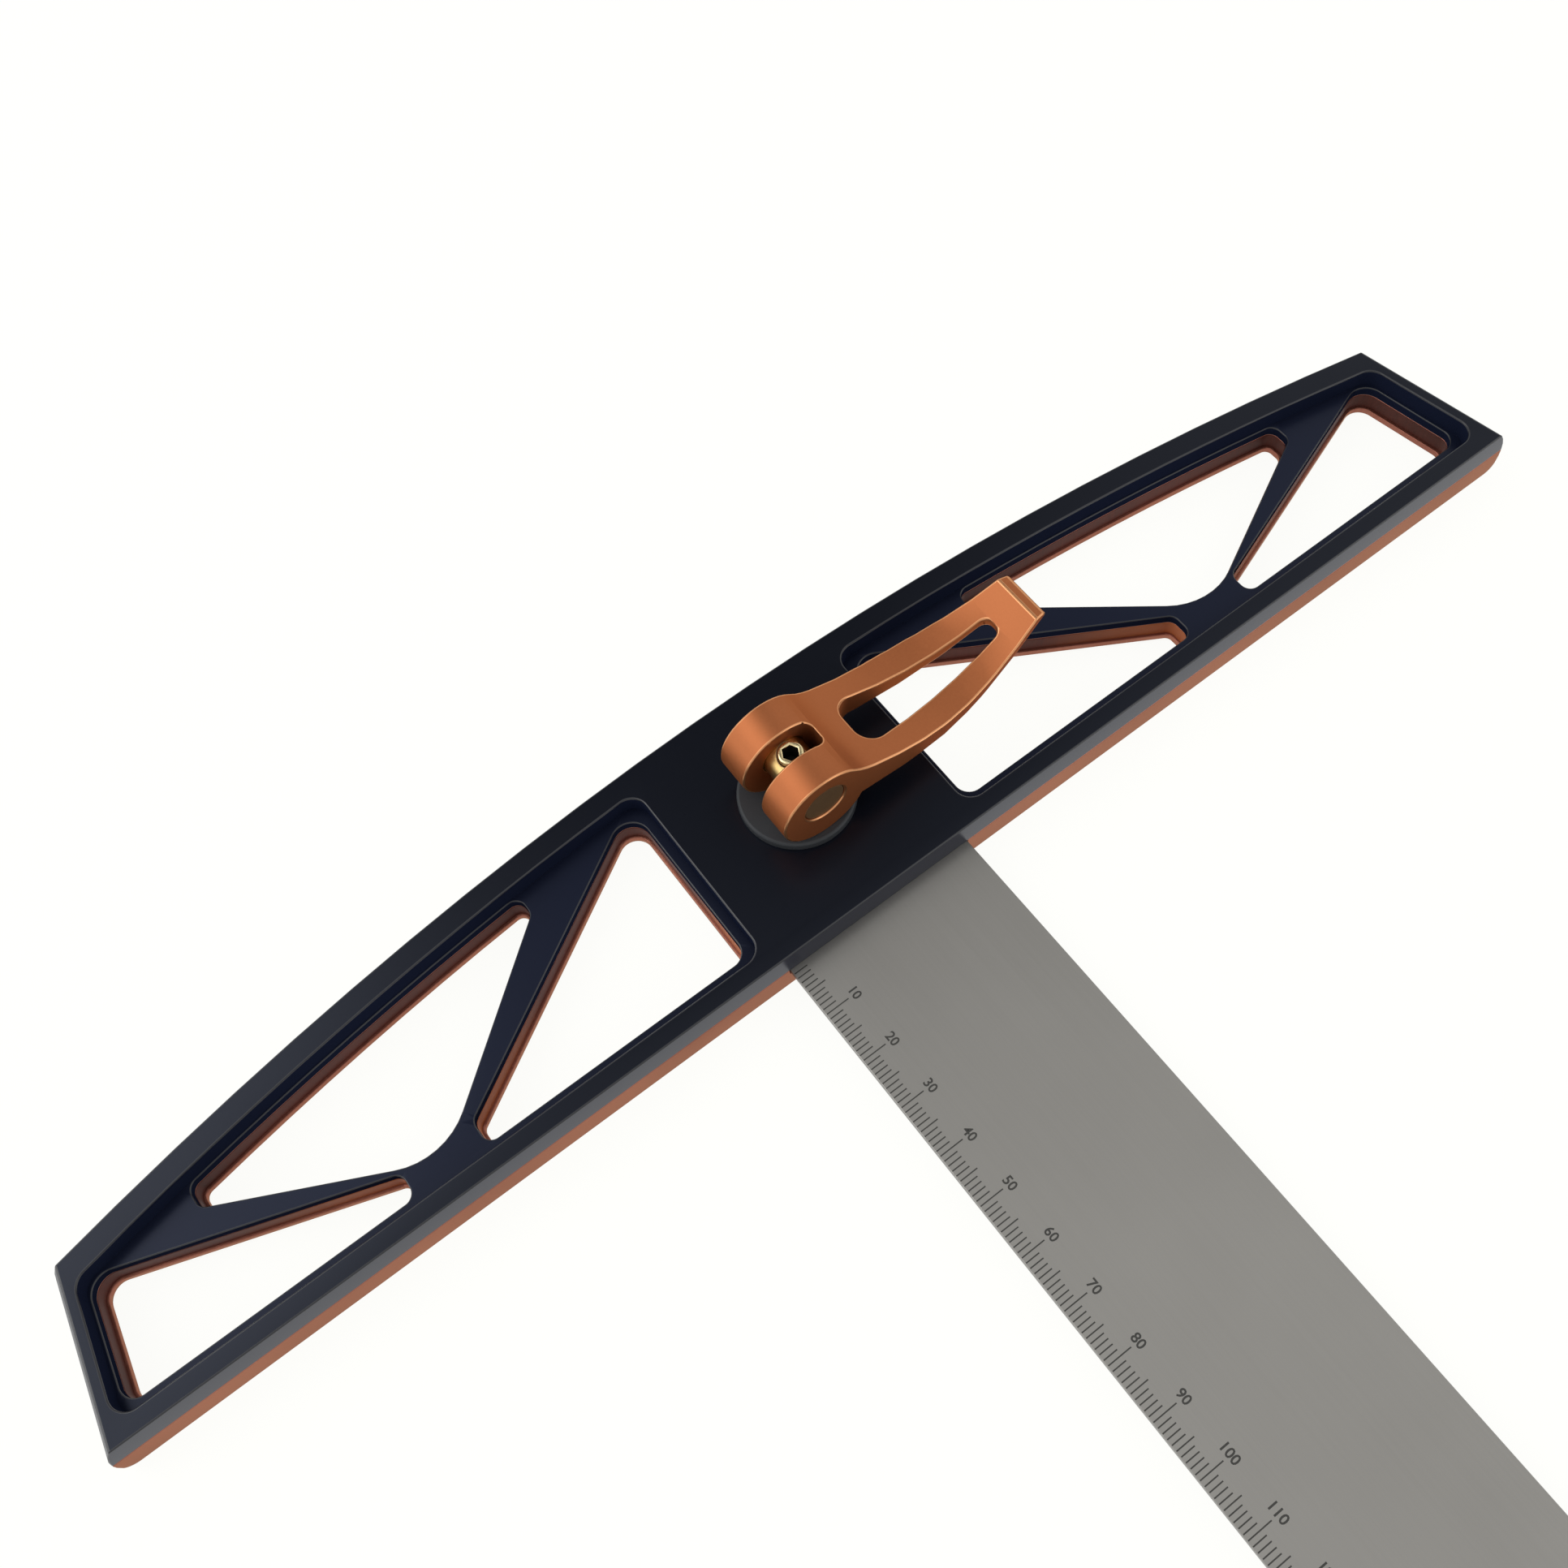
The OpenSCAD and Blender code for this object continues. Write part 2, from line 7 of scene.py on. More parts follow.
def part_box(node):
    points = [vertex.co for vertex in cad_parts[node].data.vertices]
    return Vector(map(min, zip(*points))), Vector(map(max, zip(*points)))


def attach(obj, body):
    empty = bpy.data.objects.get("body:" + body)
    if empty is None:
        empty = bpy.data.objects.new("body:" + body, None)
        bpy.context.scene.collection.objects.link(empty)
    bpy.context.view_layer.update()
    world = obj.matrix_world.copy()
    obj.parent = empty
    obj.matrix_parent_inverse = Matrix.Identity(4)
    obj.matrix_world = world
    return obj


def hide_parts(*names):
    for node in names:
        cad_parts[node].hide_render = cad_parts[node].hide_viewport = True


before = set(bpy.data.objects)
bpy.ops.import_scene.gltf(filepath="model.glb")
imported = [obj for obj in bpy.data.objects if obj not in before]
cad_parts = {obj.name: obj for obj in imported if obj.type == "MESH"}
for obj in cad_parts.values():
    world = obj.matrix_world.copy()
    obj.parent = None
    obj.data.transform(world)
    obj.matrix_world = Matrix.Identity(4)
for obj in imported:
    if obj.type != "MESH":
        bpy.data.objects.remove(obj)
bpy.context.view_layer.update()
mm = 0.001  # one millimetre, in metres
print("frame loaded,", len(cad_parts), "nodes")


# undoes the sRGB curve
def linearColour(hexText):
    srgb = np.array([int(hexText[i:i + 2], 16) for i in (1, 3, 5)]) / 255
    linear = np.where(srgb <= 0.04045, srgb / 12.92, ((srgb + 0.055) / 1.055) ** 2.4)
    return (*linear.tolist(), 1.0)


# a value that is a socket is linked, any other value is set
def addNode(tree, kind, settings, inputs):
    node = tree.nodes.new(kind)
    for name, value in settings.items():
        setattr(node, name, value)
    for name, value in inputs.items():
        if isinstance(value, bpy.types.NodeSocket):
            tree.links.new(value, node.inputs[name])
        else:
            node.inputs[name].default_value = value
    return node


firstColour, secondColour, mixedColour = 6, 7, 2  # the sockets of a Mix node that mixes colours


def startMaterial(name):
    material = bpy.data.materials.new(name)
    material.use_nodes = True
    tree = material.node_tree
    place = addNode(tree, "ShaderNodeTexCoord", {}, {})
    return material, tree, tree.nodes["Principled BSDF"], place.outputs["Object"]


# aluminium, blasted and anodised black, on the rims and the pad: nearly black, a broad soft gloss
# the real grit marks are too fine to show, so the grain of the black finishes is drawn coarser
blackFinish = {"colour": "#080a11", "gloss": 0.28, "sheen": "#c8d0e8",
               "grainMm": 0.45, "cloudMm": 35, "rough": (0.27, 0.29)}
# the same aluminium on the recess floors and the outer sides: a little bluer and duller
recessFinish = {"colour": "#121625", "gloss": 0.18, "sheen": "#c8d0e8",
                "grainMm": 0.45, "cloudMm": 35, "rough": (0.27, 0.29)}
# the same aluminium on the milled walls of the recesses: matt navy with no gloss, a painted shade
pocketShadeFinish = {"colour": "#151a2b", "gloss": 0.0, "sheen": "#c8d0e8",
                "grainMm": 0.45, "cloudMm": 35, "rough": (0.55, 0.65)}
# the same aluminium on its rounded edges, lighter and glossier: a painted highlight
blackHighlightFinish = {"colour": "#15171e", "gloss": 0.5, "sheen": "#ffffff",
                   "grainMm": 0.45, "cloudMm": 35, "rough": (0.28, 0.34)}
# steel, turned and painted satin black: the washer, a dark grey with a soft gloss
washerFinish = {"colour": "#303235", "gloss": 0.15, "sheen": "#ffffff",
                "grainMm": 0.3, "cloudMm": 20, "rough": (0.34, 0.42)}
# what the black finishes share: a slow drift of the shade and a shallow grain
blackGrain = {"cloudDetail": 2.0, "grainDetail": 1.0, "darkest": 0.85, "lightest": 1.15,
              "bump": 0.015, "bumpMm": 0.02}


# clouds drift the colour's brightness, and one fine grain sets both roughness and bump
def satinBlack(name, finish):
    material, tree, shader, place = startMaterial(name)
    cloud = addNode(tree, "ShaderNodeTexNoise", {},
                    {"Vector": place, "Scale": 1 / (finish["cloudMm"] * mm),
                     "Detail": blackGrain["cloudDetail"]})
    drift = addNode(tree, "ShaderNodeMapRange", {},
                    {"Value": cloud.outputs["Fac"], "To Min": blackGrain["darkest"],
                     "To Max": blackGrain["lightest"]})
    shade = addNode(tree, "ShaderNodeHueSaturation", {},
                    {"Color": linearColour(finish["colour"]), "Value": drift.outputs["Result"]})
    grain = addNode(tree, "ShaderNodeTexNoise", {},
                    {"Vector": place, "Scale": 1 / (finish["grainMm"] * mm),
                     "Detail": blackGrain["grainDetail"]})
    smooth, coarse = finish["rough"]
    rough = addNode(tree, "ShaderNodeMapRange", {},
                    {"Value": grain.outputs["Fac"], "To Min": smooth, "To Max": coarse})
    bump = addNode(tree, "ShaderNodeBump", {},
                   {"Height": grain.outputs["Fac"], "Strength": blackGrain["bump"],
                    "Distance": blackGrain["bumpMm"] * mm})
    tree.links.new(shade.outputs["Color"], shader.inputs["Base Color"])
    tree.links.new(rough.outputs["Result"], shader.inputs["Roughness"])
    tree.links.new(bump.outputs["Normal"], shader.inputs["Normal"])
    shader.inputs["Specular IOR Level"].default_value = finish["gloss"]
    shader.inputs["Specular Tint"].default_value = linearColour(finish["sheen"])
    return material


# aluminium, milled and anodised copper: fine upright cutter lines on the edges, warm metal shine
# cutter lines and grinding streaks are too fine to show too, so those below are drawn coarser
copperFinish = {"light": "#9e6656", "dark": "#885448", "edge": "#f0d8c2", "metal": 0.9,
                "gloss": 0.5, "lineMm": 0.5, "lineLongMm": 9, "rough": (0.30, 0.42)}
# the same aluminium on the walls inside the windows, with painted shade: dull and not metal, a dark
# red brown that stands for their shade, and painted light: a brighter orange towards the front, but
# not near the head's ends
windowShadeAndLightFinish = {"light": "#5a3029", "dark": "#40221d", "edge": "#ffe4d2", "metal": 0.0,
                "gloss": 0.12, "lineMm": 0.5, "lineLongMm": 9, "rough": (0.45, 0.55),
                "front": "#a8603a", "frontFromMm": 0.0, "frontToMm": -13.0,
                "endFromMm": 100, "endToMm": 122}
# aluminium, blasted and anodised copper: the lever, more orange and without lines
leverFinish = {"light": "#a3623e", "dark": "#955837", "edge": "#d89a70", "metal": 0.8,
               "gloss": 0.5, "lineMm": 0.4, "lineLongMm": 0.4, "rough": (0.42, 0.50)}
# the lever's rounded edges, paler and smoother: a painted highlight
leverHighlightFinish = {"light": "#cc9268", "dark": "#bc8259", "edge": "#ffe0c4", "metal": 0.9,
                   "gloss": 0.5, "lineMm": 0.4, "lineLongMm": 0.4, "rough": (0.26, 0.32)}
# steel, ground along the blade: straight fine streaks and an even grey
bladeFinish = {"light": "#918f8c", "dark": "#8c8a87", "edge": "#ffffff", "metal": 1.0,
               "gloss": 0.5, "lineMm": 0.25, "lineLongMm": 30, "rough": (0.36, 0.42)}
# steel, zinc plated: the stud, pale yellow and fairly bright
studFinish = {"light": "#e2d2a8", "dark": "#cbb78a", "edge": "#ffffff", "metal": 1.0,
              "gloss": 0.5, "lineMm": 0.3, "lineLongMm": 0.3, "rough": (0.22, 0.32)}
# brass, turned and bright: the barrel where it shows in the fork
barrelFinish = {"light": "#c9ad74", "dark": "#b0935c", "edge": "#ffffff", "metal": 1.0,
                "gloss": 0.5, "lineMm": 0.3, "lineLongMm": 0.3, "rough": (0.25, 0.35)}
# the same brass on the barrel's ends, set in the lever's holes: dull brown, a painted shade
barrelEndShadeFinish = {"light": "#86694a", "dark": "#70563c", "edge": "#ffffff", "metal": 0.7,
                   "gloss": 0.5, "lineMm": 0.3, "lineLongMm": 0.3, "rough": (0.32, 0.42)}
# the stud's steel down in the hex socket: dark, a painted shade
socketShadeFinish = {"light": "#2b2620", "dark": "#1c1915", "edge": "#ffffff", "metal": 0.5,
                "gloss": 0.3, "lineMm": 0.3, "lineLongMm": 0.3, "rough": (0.40, 0.50)}
# steel, ground: the shoe and the dowels, a plain cool grey
steelFinish = {"light": "#8f9195", "dark": "#7f8185", "edge": "#ffffff", "metal": 1.0,
               "gloss": 0.5, "lineMm": 0.35, "lineLongMm": 6, "rough": (0.30, 0.42)}
# steel, blacked in an oil bath: the screws, a dark shine
screwFinish = {"light": "#35353a", "dark": "#29292d", "edge": "#ffffff", "metal": 1.0,
               "gloss": 0.5, "lineMm": 0.4, "lineLongMm": 0.4, "rough": (0.38, 0.50)}
# what the grained metals share: streaks laid over slow clouds, and a shallow grain
metalGrain = {"cloudMm": 28, "cloudDetail": 2.0, "lineDetail": 2.0, "lineShare": 0.45,
              "darkBelow": 0.45, "lightAbove": 1.0, "bump": 0.10, "bumpMm": 0.02}


# a metal whose grain is stretched along one axis of the piece
def grainedMetal(name, finish, along):
    material, tree, shader, place = startMaterial(name)
    size = [1 / (finish["lineMm"] * mm)] * 3
    size["xyz".index(along)] = 1 / (finish["lineLongMm"] * mm)
    stretched = addNode(tree, "ShaderNodeMapping", {}, {"Vector": place, "Scale": size})
    line = addNode(tree, "ShaderNodeTexNoise", {},
                   {"Vector": stretched.outputs["Vector"], "Scale": 1.0,
                    "Detail": metalGrain["lineDetail"]})
    cloud = addNode(tree, "ShaderNodeTexNoise", {},
                    {"Vector": place, "Scale": 1 / (metalGrain["cloudMm"] * mm),
                     "Detail": metalGrain["cloudDetail"]})
    blend = addNode(tree, "ShaderNodeMath", {"operation": "MULTIPLY_ADD"},
                    {0: line.outputs["Fac"], 1: metalGrain["lineShare"], 2: cloud.outputs["Fac"]})
    depth = addNode(tree, "ShaderNodeMapRange", {},
                    {"Value": blend.outputs["Value"], "From Min": metalGrain["darkBelow"],
                     "From Max": metalGrain["lightAbove"]})
    colour = addNode(tree, "ShaderNodeMix", {"data_type": "RGBA"},
                     {"Factor": depth.outputs["Result"], firstColour: linearColour(finish["dark"]),
                      secondColour: linearColour(finish["light"])})
    smooth, coarse = finish["rough"]
    rough = addNode(tree, "ShaderNodeMapRange", {},
                    {"Value": line.outputs["Fac"], "To Min": smooth, "To Max": coarse})
    bump = addNode(tree, "ShaderNodeBump", {},
                   {"Height": line.outputs["Fac"], "Strength": metalGrain["bump"],
                    "Distance": metalGrain["bumpMm"] * mm})
    # painted light on the window walls: the mix below lays a brighter colour towards the front
    if "front" in finish:  # another colour towards the front, fading out near both ends
        parts = addNode(tree, "ShaderNodeSeparateXYZ", {}, {"Vector": place})
        apart = addNode(tree, "ShaderNodeMath", {"operation": "ABSOLUTE"}, {0: parts.outputs["X"]})
        inward = addNode(tree, "ShaderNodeMapRange", {},
                         {"Value": apart.outputs["Value"], "From Min": finish["endFromMm"] * mm,
                          "From Max": finish["endToMm"] * mm, "To Min": 1.0, "To Max": 0.0})
        nearFront = addNode(tree, "ShaderNodeMapRange", {},
                            {"Value": parts.outputs["Y"], "From Min": finish["frontFromMm"] * mm,
                             "From Max": finish["frontToMm"] * mm,
                             "To Max": inward.outputs["Result"]})
        colour = addNode(tree, "ShaderNodeMix", {"data_type": "RGBA"},
                         {"Factor": nearFront.outputs["Result"],
                          firstColour: colour.outputs[mixedColour],
                          secondColour: linearColour(finish["front"])})
    tree.links.new(colour.outputs[mixedColour], shader.inputs["Base Color"])
    tree.links.new(rough.outputs["Result"], shader.inputs["Roughness"])
    tree.links.new(bump.outputs["Normal"], shader.inputs["Normal"])
    shader.inputs["Metallic"].default_value = finish["metal"]
    shader.inputs["Specular IOR Level"].default_value = finish["gloss"]
    shader.inputs["Specular Tint"].default_value = linearColour(finish["edge"])
    return material


# etched marks: dark oxide in the steel, broken up a little by its grain
markFinish = {"dark": "#1c1b1a", "worn": "#363532", "grainMm": 0.2, "rough": 0.7}


def etchedMark(name, finish):
    material, tree, shader, place = startMaterial(name)
    grain = addNode(tree, "ShaderNodeTexNoise", {},
                    {"Vector": place, "Scale": 1 / (finish["grainMm"] * mm)})
    colour = addNode(tree, "ShaderNodeMix", {"data_type": "RGBA"},
                     {"Factor": grain.outputs["Fac"], firstColour: linearColour(finish["dark"]),
                      secondColour: linearColour(finish["worn"])})
    tree.links.new(colour.outputs[mixedColour], shader.inputs["Base Color"])
    shader.inputs["Roughness"].default_value = finish["rough"]
    return material


blackAluminium = satinBlack("blackAnodisedAluminium", blackFinish)
blackRecess = satinBlack("blackAnodisedRecess", recessFinish)
blackPocketShade = satinBlack("blackPocketWallPaintedShade", pocketShadeFinish)
blackHighlight = satinBlack("blackEdgePaintedHighlight", blackHighlightFinish)
blackSteel = satinBlack("blackPaintedSteel", washerFinish)
copperAluminium = grainedMetal("copperAnodisedAluminium", copperFinish, "z")
copperWindowShadeAndLight = grainedMetal("copperWindowPaintedShadeAndLight", windowShadeAndLightFinish, "z")
leverAluminium = grainedMetal("blastedCopperAluminium", leverFinish, "x")
leverHighlight = grainedMetal("leverEdgePaintedHighlight", leverHighlightFinish, "x")
groundBlade = grainedMetal("groundBladeSteel", bladeFinish, "y")
platedSteel = grainedMetal("zincPlatedSteel", studFinish, "z")
socketShadeSteel = grainedMetal("socketPaintedShade", socketShadeFinish, "z")
brightBrass = grainedMetal("turnedBrass", barrelFinish, "y")
shadedBrassEnd = grainedMetal("brassEndPaintedShade", barrelEndShadeFinish, "y")
groundSteel = grainedMetal("groundSteel", steelFinish, "x")
blackedSteel = grainedMetal("blackedScrewSteel", screwFinish, "x")
etchedOxide = etchedMark("etchedOxide", markFinish)
print("materials made,", len(bpy.data.materials))

# an edge that turns further is sharp, closer points are one, and a face tilted up less is a wall
rounding = {"sharpDegrees": 28, "mergeMm": 0.002, "wallBelow": 0.5}
innerSlot = 1  # the material of the inner faces that the next two functions and the ends pick


# walls of pockets: walls above a level that no run of neighbouring walls joins to the foremost face
def pocketWalls(work, aboveMm):
    walls = {face for face in work.faces if abs(face.normal.z) < rounding["wallBelow"]}
    spread = [min(walls, key=lambda face: face.calc_center_median().y)]
    while spread:
        face = spread.pop()
        walls.discard(face)
        spread += [near for edge in face.edges for near in edge.link_faces if near in walls]
    return [face for face in walls if face.calc_center_median().z > aboveMm * mm]


# faces of a socket: all corners within a radius of the piece's upright axis
def socketFaces(work, withinMm):
    return [face for face in work.faces
            if max(vert.co.xy.length for vert in face.verts) < withinMm * mm]


# a copy of the node with its doubles merged and its outward sharp edges rounded by a Bevel,
# finer below a level, and with a material for each face by where the face lies
def roundedCopy(piece):
    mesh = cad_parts[piece["node"]].data.copy()
    mesh.name = piece["name"]
    work = bmesh.new()
    work.from_mesh(mesh)
    bmesh.ops.remove_doubles(work, verts=work.verts, dist=rounding["mergeMm"] * mm)
    sharpAngle = np.radians(rounding["sharpDegrees"])
    fineLevel = piece.get("fineBelowMm", 0) * mm
    fineShare = piece.get("fineMm", piece["edgeMm"]) / piece["edgeMm"]
    weight = work.edges.layers.float.new("bevel_weight_edge")
    for edge in work.edges:
        if edge.calc_face_angle() < sharpAngle:
            continue
        if edge.is_convex:
            fine = min(vert.co.z for vert in edge.verts) < fineLevel
            edge[weight] = fineShare if fine else 1.0
        else:
            edge.smooth = False
    for face in work.faces:
        face.smooth = True
    mesh.materials.clear()
    for material in piece["materials"]:
        mesh.materials.append(material)
    if "lowBelowMm" in piece:
        for face in work.faces:
            if face.calc_center_median().z < piece["lowBelowMm"] * mm:
                face.material_index = piece["lowSlot"]
    inner = []
    if "wallsAboveMm" in piece:
        inner = pocketWalls(work, piece["wallsAboveMm"])
    if "socketWithinMm" in piece:
        inner = socketFaces(work, piece["socketWithinMm"])
    if "endsAlongY" in piece:
        inner = [face for face in work.faces if abs(face.normal.y) > piece["endsAlongY"]]
    for face in inner:
        face.material_index = innerSlot
    work.to_mesh(mesh)
    work.free()
    copy = bpy.data.objects.new(piece["name"], mesh)
    bpy.context.scene.collection.objects.link(copy)
    bevel = copy.modifiers.new("edge", "BEVEL")
    bevel.width = piece["edgeMm"] * mm
    bevel.segments = piece["steps"]
    bevel.limit_method = "WEIGHT"
    bevel.use_clamp_overlap = False
    bevel.loop_slide = False
    bevel.harden_normals = True
    bevel.material = piece["edgeSlot"]
    weights = copy.modifiers.new("shading", "WEIGHTED_NORMAL")
    weights.keep_sharp = True
    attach(copy, piece["body"])
    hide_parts(piece["node"])


# "materials" starts with the outer faces' one, then the inner faces'; "edgeSlot" picks the rounded
# edges' one, -1 for the neighbour's, and "lowSlot" the one of outer faces below "lowBelowMm";
# "endsAlongY" is how nearly along y an end looks, 1 for straight along it
topPlate = {"name": "topPlate", "node": "top_plate", "body": "head", "edgeMm": 0.3, "steps": 3,
            "fineMm": 0.2, "fineBelowMm": 11.9, "edgeSlot": 2, "wallsAboveMm": 5.9,
            "lowSlot": 3, "lowBelowMm": 11.9,
            "materials": [blackAluminium, blackPocketShade, blackHighlight, blackRecess]}
basePlate = {"name": "basePlate", "node": "base_plate", "body": "head", "edgeMm": 0.25, "steps": 2,
             "fineMm": 0.1, "fineBelowMm": 5.8, "edgeSlot": -1, "wallsAboveMm": 2.4,
             "materials": [copperAluminium, copperWindowShadeAndLight]}
rule = {"name": "rule", "node": "blade", "body": "rule", "edgeMm": 0.12, "steps": 2,
        "edgeSlot": -1, "materials": [groundBlade]}
camLever = {"name": "camLever", "node": "lever", "body": "lever", "edgeMm": 0.35, "steps": 3,
            "edgeSlot": 1, "materials": [leverAluminium, leverHighlight]}
camWasher = {"name": "camWasher", "node": "cam_washer", "body": "head", "edgeMm": 0.15, "steps": 2,
             "edgeSlot": -1, "materials": [blackSteel]}
barrelNut = {"name": "barrelNut", "node": "barrel_nut", "body": "stud", "edgeMm": 0.25, "steps": 3,
             "edgeSlot": 1, "endsAlongY": 0.9, "materials": [brightBrass, shadedBrassEnd]}
clampStud = {"name": "clampStud", "node": "clamp_stud", "body": "stud", "edgeMm": 0.3, "steps": 3,
             "edgeSlot": 0, "socketWithinMm": 1.6, "materials": [platedSteel, socketShadeSteel]}
for piece in (topPlate, basePlate, rule, camLever, camWasher, barrelNut, clampStud):
    roundedCopy(piece)

# the shoe, the screws and the dowels keep their solids
plainNodes = {"clamp_shoe": groundSteel, "plate_screw": blackedSteel, "dowel_pin": groundSteel}
for nodeName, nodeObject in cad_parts.items():
    for start, material in plainNodes.items():
        if nodeName.startswith(start):
            nodeObject.data.materials.clear()
            nodeObject.data.materials.append(material)
print("head, blade and lever dressed")

# etched scale along the blade's left edge, with numbers at every ten
scale = {"lastMm": 300, "markWideMm": 0.22, "shortMm": 2.8, "fiveMm": 3.6, "tenMm": 4.7,
         "edgeMm": 0.15, "digitHighMm": 1.75, "digitsInMm": 6.2, "digitBold": 0.02,
         "digitSteps": 3, "liftMm": 0.01}
bladeLow, bladeHigh = (np.array(corner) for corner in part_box("blade"))
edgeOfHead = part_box("top_plate")[0][1]
markLevel = bladeHigh[2] + scale["liftMm"] * mm


# a thin layer on the blade, from its points and faces
def flatPiece(name, points, faces, body):
    mesh = bpy.data.meshes.new(name)
    mesh.from_pydata(points.tolist(), [], faces.tolist())
    mesh.materials.append(etchedOxide)
    flat = bpy.data.objects.new(name, mesh)
    bpy.context.scene.collection.objects.link(flat)
    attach(flat, body)


# marks: a flat strip for each millimetre from the head's front on, longer at fives and tens
count = np.arange(1, scale["lastMm"] + 1)
length = np.where(count % 10 == 0, scale["tenMm"],
                  np.where(count % 5 == 0, scale["fiveMm"], scale["shortMm"]))
startX = np.full(len(count), bladeLow[0] + scale["edgeMm"] * mm)
endX = bladeLow[0] + length * mm
middleY = edgeOfHead - count * mm
half = scale["markWideMm"] * mm / 2
level = np.full(len(count), markLevel)
corners = np.stack([np.stack([x, y, level], axis=1) for x, y in (
    (startX, middleY - half), (endX, middleY - half),
    (endX, middleY + half), (startX, middleY + half))], axis=1)
flatPiece("scaleMarks", corners.reshape(-1, 3), np.arange(4 * len(count)).reshape(-1, 4), "rule")

# numbers: letters made a mesh, scaled to the digit height, read along the blade away from the head
letters = bpy.data.curves.new("letters", "FONT")
letters.align_x = "CENTER"
letters.resolution_u = scale["digitSteps"]
letters.offset = scale["digitBold"]
lettersObject = bpy.data.objects.new("letters", letters)
bpy.context.scene.collection.objects.link(lettersObject)


# the flat points and the triangles of a few letters
def labelMesh(text):
    letters.body = text
    bpy.context.view_layer.update()
    shape = lettersObject.evaluated_get(bpy.context.evaluated_depsgraph_get()).to_mesh()
    flat = np.empty(3 * len(shape.vertices))
    shape.vertices.foreach_get("co", flat)
    triangles = np.array([loop.vertices[:] for loop in shape.loop_triangles])
    return flat.reshape(-1, 3)[:, :2], triangles


allPoints, allFaces, used = [], [], 0
for value in range(10, scale["lastMm"] + 1, 10):
    points, triangles = labelMesh(str(value))
    points = points - (points.min(axis=0) + points.max(axis=0)) / 2
    points = points * scale["digitHighMm"] * mm / np.ptp(points[:, 1])
    place = np.stack([bladeLow[0] + scale["digitsInMm"] * mm + points[:, 1],
                      edgeOfHead - value * mm - points[:, 0],
                      np.full(len(points), markLevel)], axis=1)
    allPoints.append(place)
    allFaces.append(triangles + used)
    used += len(points)
bpy.data.objects.remove(lettersObject)
bpy.data.curves.remove(letters)
flatPiece("scaleNumbers", np.concatenate(allPoints), np.concatenate(allFaces), "rule")
print("scale etched,", len(count), "marks")

# pale floor: white to the eye and in mirrors, with part of the shadow kept
floorLook = {"sizeM": 12.0, "dropMm": 0.05, "colour": "#fffffc", "shadowKept": 0.06}
floorMesh = bpy.data.meshes.new("floor")
side = floorLook["sizeM"] / 2
floorCorners = [(-side, -side, 0), (side, -side, 0), (side, side, 0), (-side, side, 0)]
floorMesh.from_pydata(floorCorners, [], [(0, 1, 2, 3)])
floor = bpy.data.objects.new("floor", floorMesh)
floor.location.z = -floorLook["dropMm"] * mm
bpy.context.scene.collection.objects.link(floor)
floorPaint = bpy.data.materials.new("palePaper")
floorPaint.use_nodes = True
floorTree = floorPaint.node_tree
floorTree.nodes.clear()
paperWhite = linearColour(floorLook["colour"])
paper = addNode(floorTree, "ShaderNodeBsdfDiffuse", {}, {"Color": paperWhite})
glow = addNode(floorTree, "ShaderNodeEmission", {}, {"Color": paperWhite, "Strength": 1.0})
ray = addNode(floorTree, "ShaderNodeLightPath", {}, {})
seen = addNode(floorTree, "ShaderNodeMath", {"operation": "MAXIMUM"},
               {0: ray.outputs["Is Camera Ray"], 1: ray.outputs["Is Glossy Ray"]})
seenThrough = addNode(floorTree, "ShaderNodeMath", {"operation": "MAXIMUM"},
                      {0: seen.outputs["Value"], 1: ray.outputs["Is Transmission Ray"]})
share = addNode(floorTree, "ShaderNodeMath", {"operation": "MULTIPLY"},
                {0: seenThrough.outputs["Value"], 1: 1 - floorLook["shadowKept"]})
mixed = addNode(floorTree, "ShaderNodeMixShader", {},
                {0: share.outputs["Value"], 1: paper.outputs["BSDF"], 2: glow.outputs["Emission"]})
addNode(floorTree, "ShaderNodeOutputMaterial", {}, {"Surface": mixed.outputs["Shader"]})
floorMesh.materials.append(floorPaint)

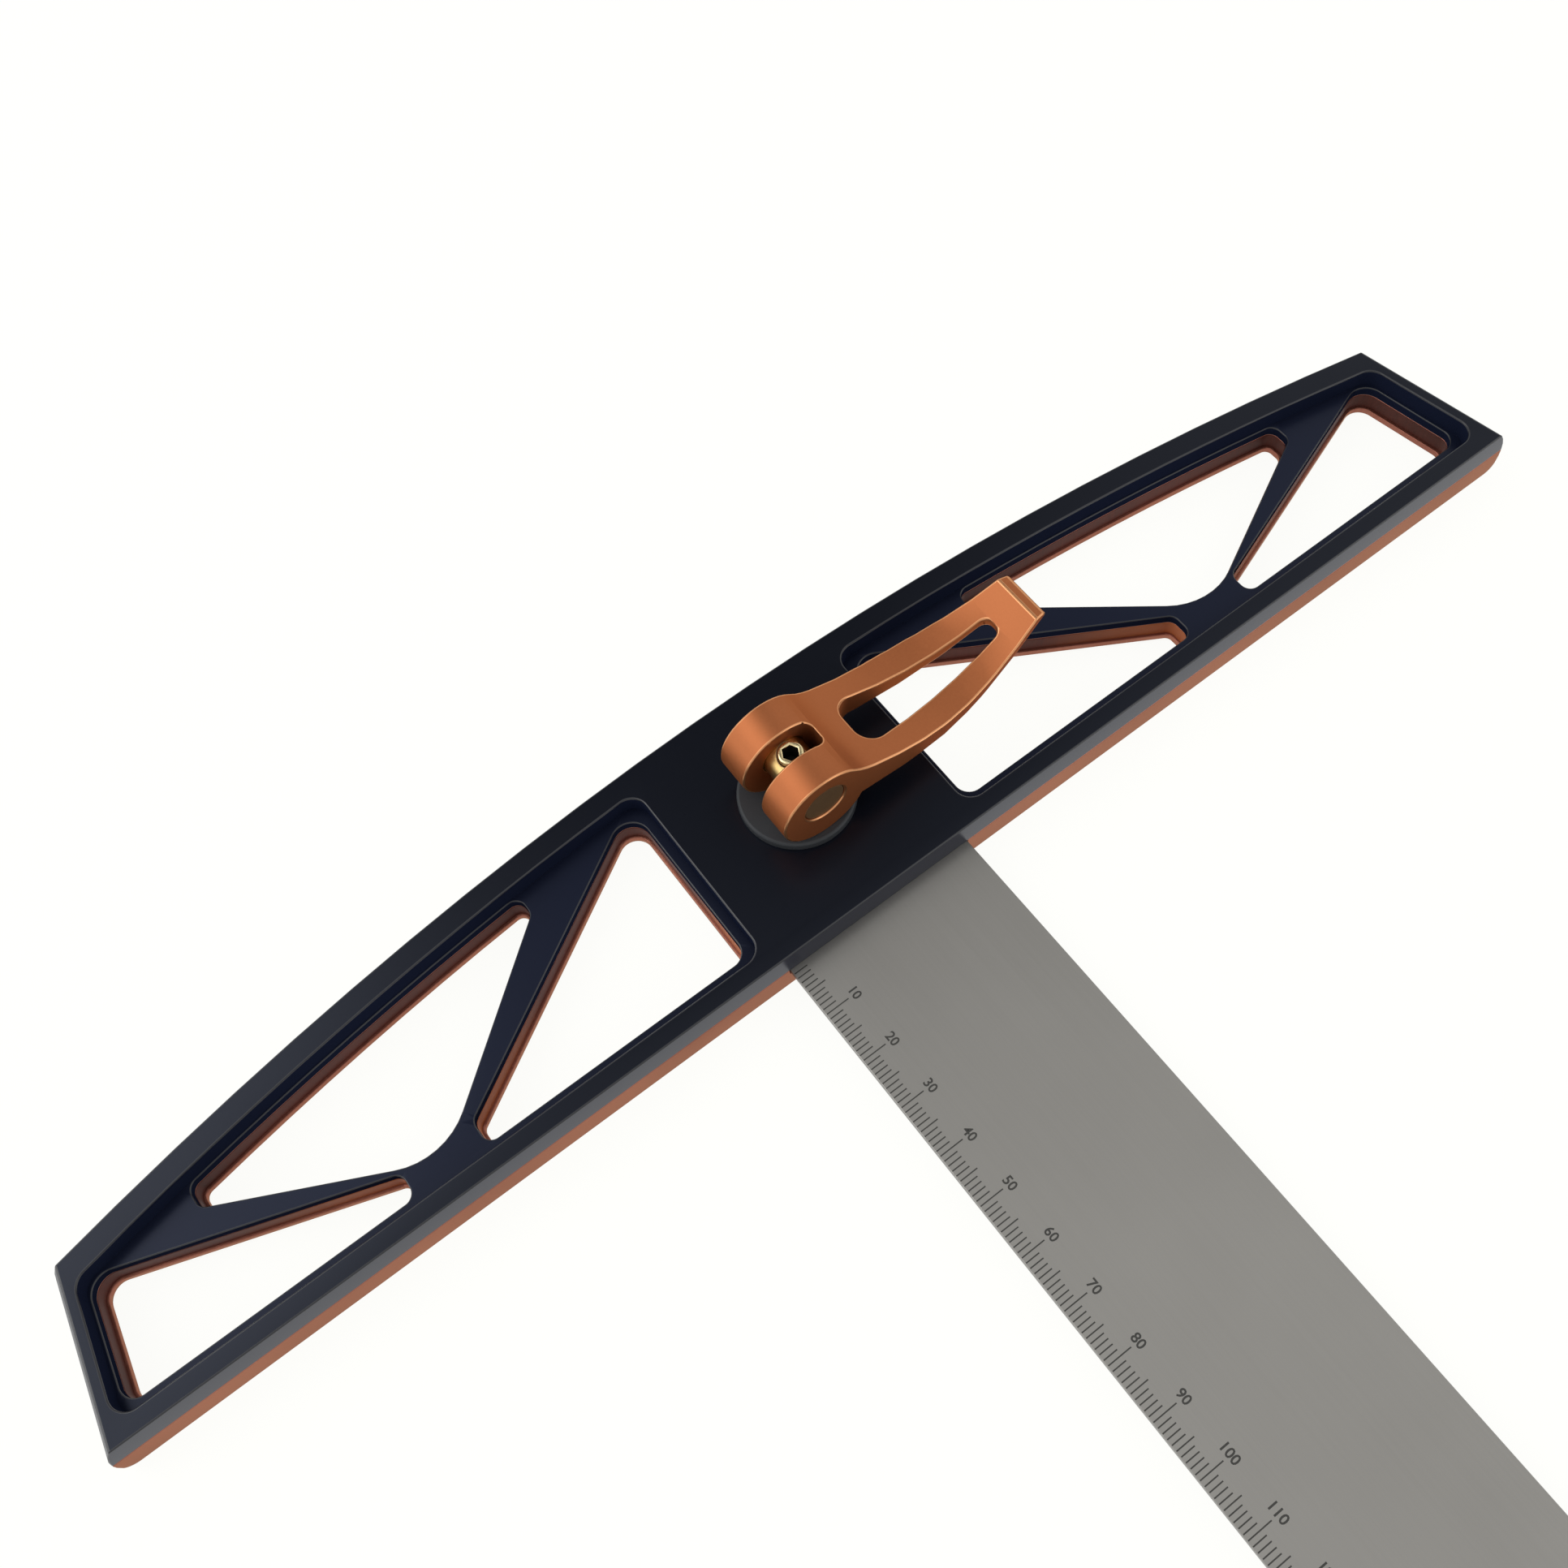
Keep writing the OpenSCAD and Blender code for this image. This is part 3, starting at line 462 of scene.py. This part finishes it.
# studio: a white room whose ceiling is dim at the back, where the head's top mirrors it
room = {"colour": "#fdfdfa", "dimToward": (0.21, 0.49, 0.846), "dimLevel": 0.0,
        "dimEdge": 0.960, "dimFull": 0.988}
world = bpy.data.worlds.new("studio")
bpy.context.scene.world = world
world.use_nodes = True
worldTree = world.node_tree
worldTree.nodes.clear()
outlook = addNode(worldTree, "ShaderNodeTexCoord", {}, {})
nearDim = addNode(worldTree, "ShaderNodeVectorMath", {"operation": "DOT_PRODUCT"},
                  {0: outlook.outputs["Generated"], 1: room["dimToward"]})
strength = addNode(worldTree, "ShaderNodeMapRange", {"interpolation_type": "SMOOTHSTEP"},
                   {"Value": nearDim.outputs["Value"], "From Min": room["dimEdge"],
                    "From Max": room["dimFull"], "To Min": 1.0, "To Max": room["dimLevel"]})
sky = addNode(worldTree, "ShaderNodeBackground", {},
              {"Color": linearColour(room["colour"]), "Strength": strength.outputs["Result"]})
addNode(worldTree, "ShaderNodeOutputWorld", {}, {"Surface": sky.outputs["Background"]})

# square lamps that face the object from a direction
lamps = {
    "leftSoftBox": {"from": (-0.52, 0.40, 0.76), "awayM": 1.0, "sizeM": 0.7, "watts": 3.6},
    "rightFill": {"from": (0.75, -0.35, 0.55), "awayM": 1.2, "sizeM": 0.7, "watts": 0.8},
    "frontStrip": {"from": (0.50, -0.82, 0.27), "awayM": 1.0, "sizeM": 0.5, "watts": 1.2},
    "leftStrip": {"from": (-0.92, 0.36, 0.16), "awayM": 0.8, "sizeM": 0.35, "watts": 0.8},
}
for lampName, lamp in lamps.items():
    light = bpy.data.lights.new(lampName, "AREA")
    light.energy = lamp["watts"]
    light.size = lamp["sizeM"]
    lampObject = bpy.data.objects.new(lampName, light)
    toward = Vector(lamp["from"]).normalized()
    lampObject.location = toward * lamp["awayM"]
    lampObject.rotation_euler = toward.to_track_quat("Z", "Y").to_euler()
    bpy.context.scene.collection.objects.link(lampObject)

# the photograph's view: its place, its right, up and backward directions, and its lens
view = {"placeMm": (-61.07, -112.39, 276.45), "lensMm": 38.92, "sensorMm": 36.0, "nearM": 0.005,
        "right": (0.80046, -0.59447, -0.07655), "up": (0.56320, 0.70228, 0.43543),
        "back": (-0.20509, -0.39166, 0.89696)}
lens = bpy.data.cameras.new("camera")
lens.lens = view["lensMm"]
lens.sensor_width = view["sensorMm"]
lens.clip_start = view["nearM"]
camera = bpy.data.objects.new("camera", lens)
turn = Matrix((view["right"], view["up"], view["back"])).transposed().to_4x4()
camera.matrix_world = Matrix.Translation(Vector(view["placeMm"]) * mm) @ turn
bpy.context.scene.collection.objects.link(camera)
bpy.context.scene.camera = camera
bpy.context.scene.view_settings.view_transform = "Standard"
print("floor, light and camera set")

bpy.context.view_layer.update()
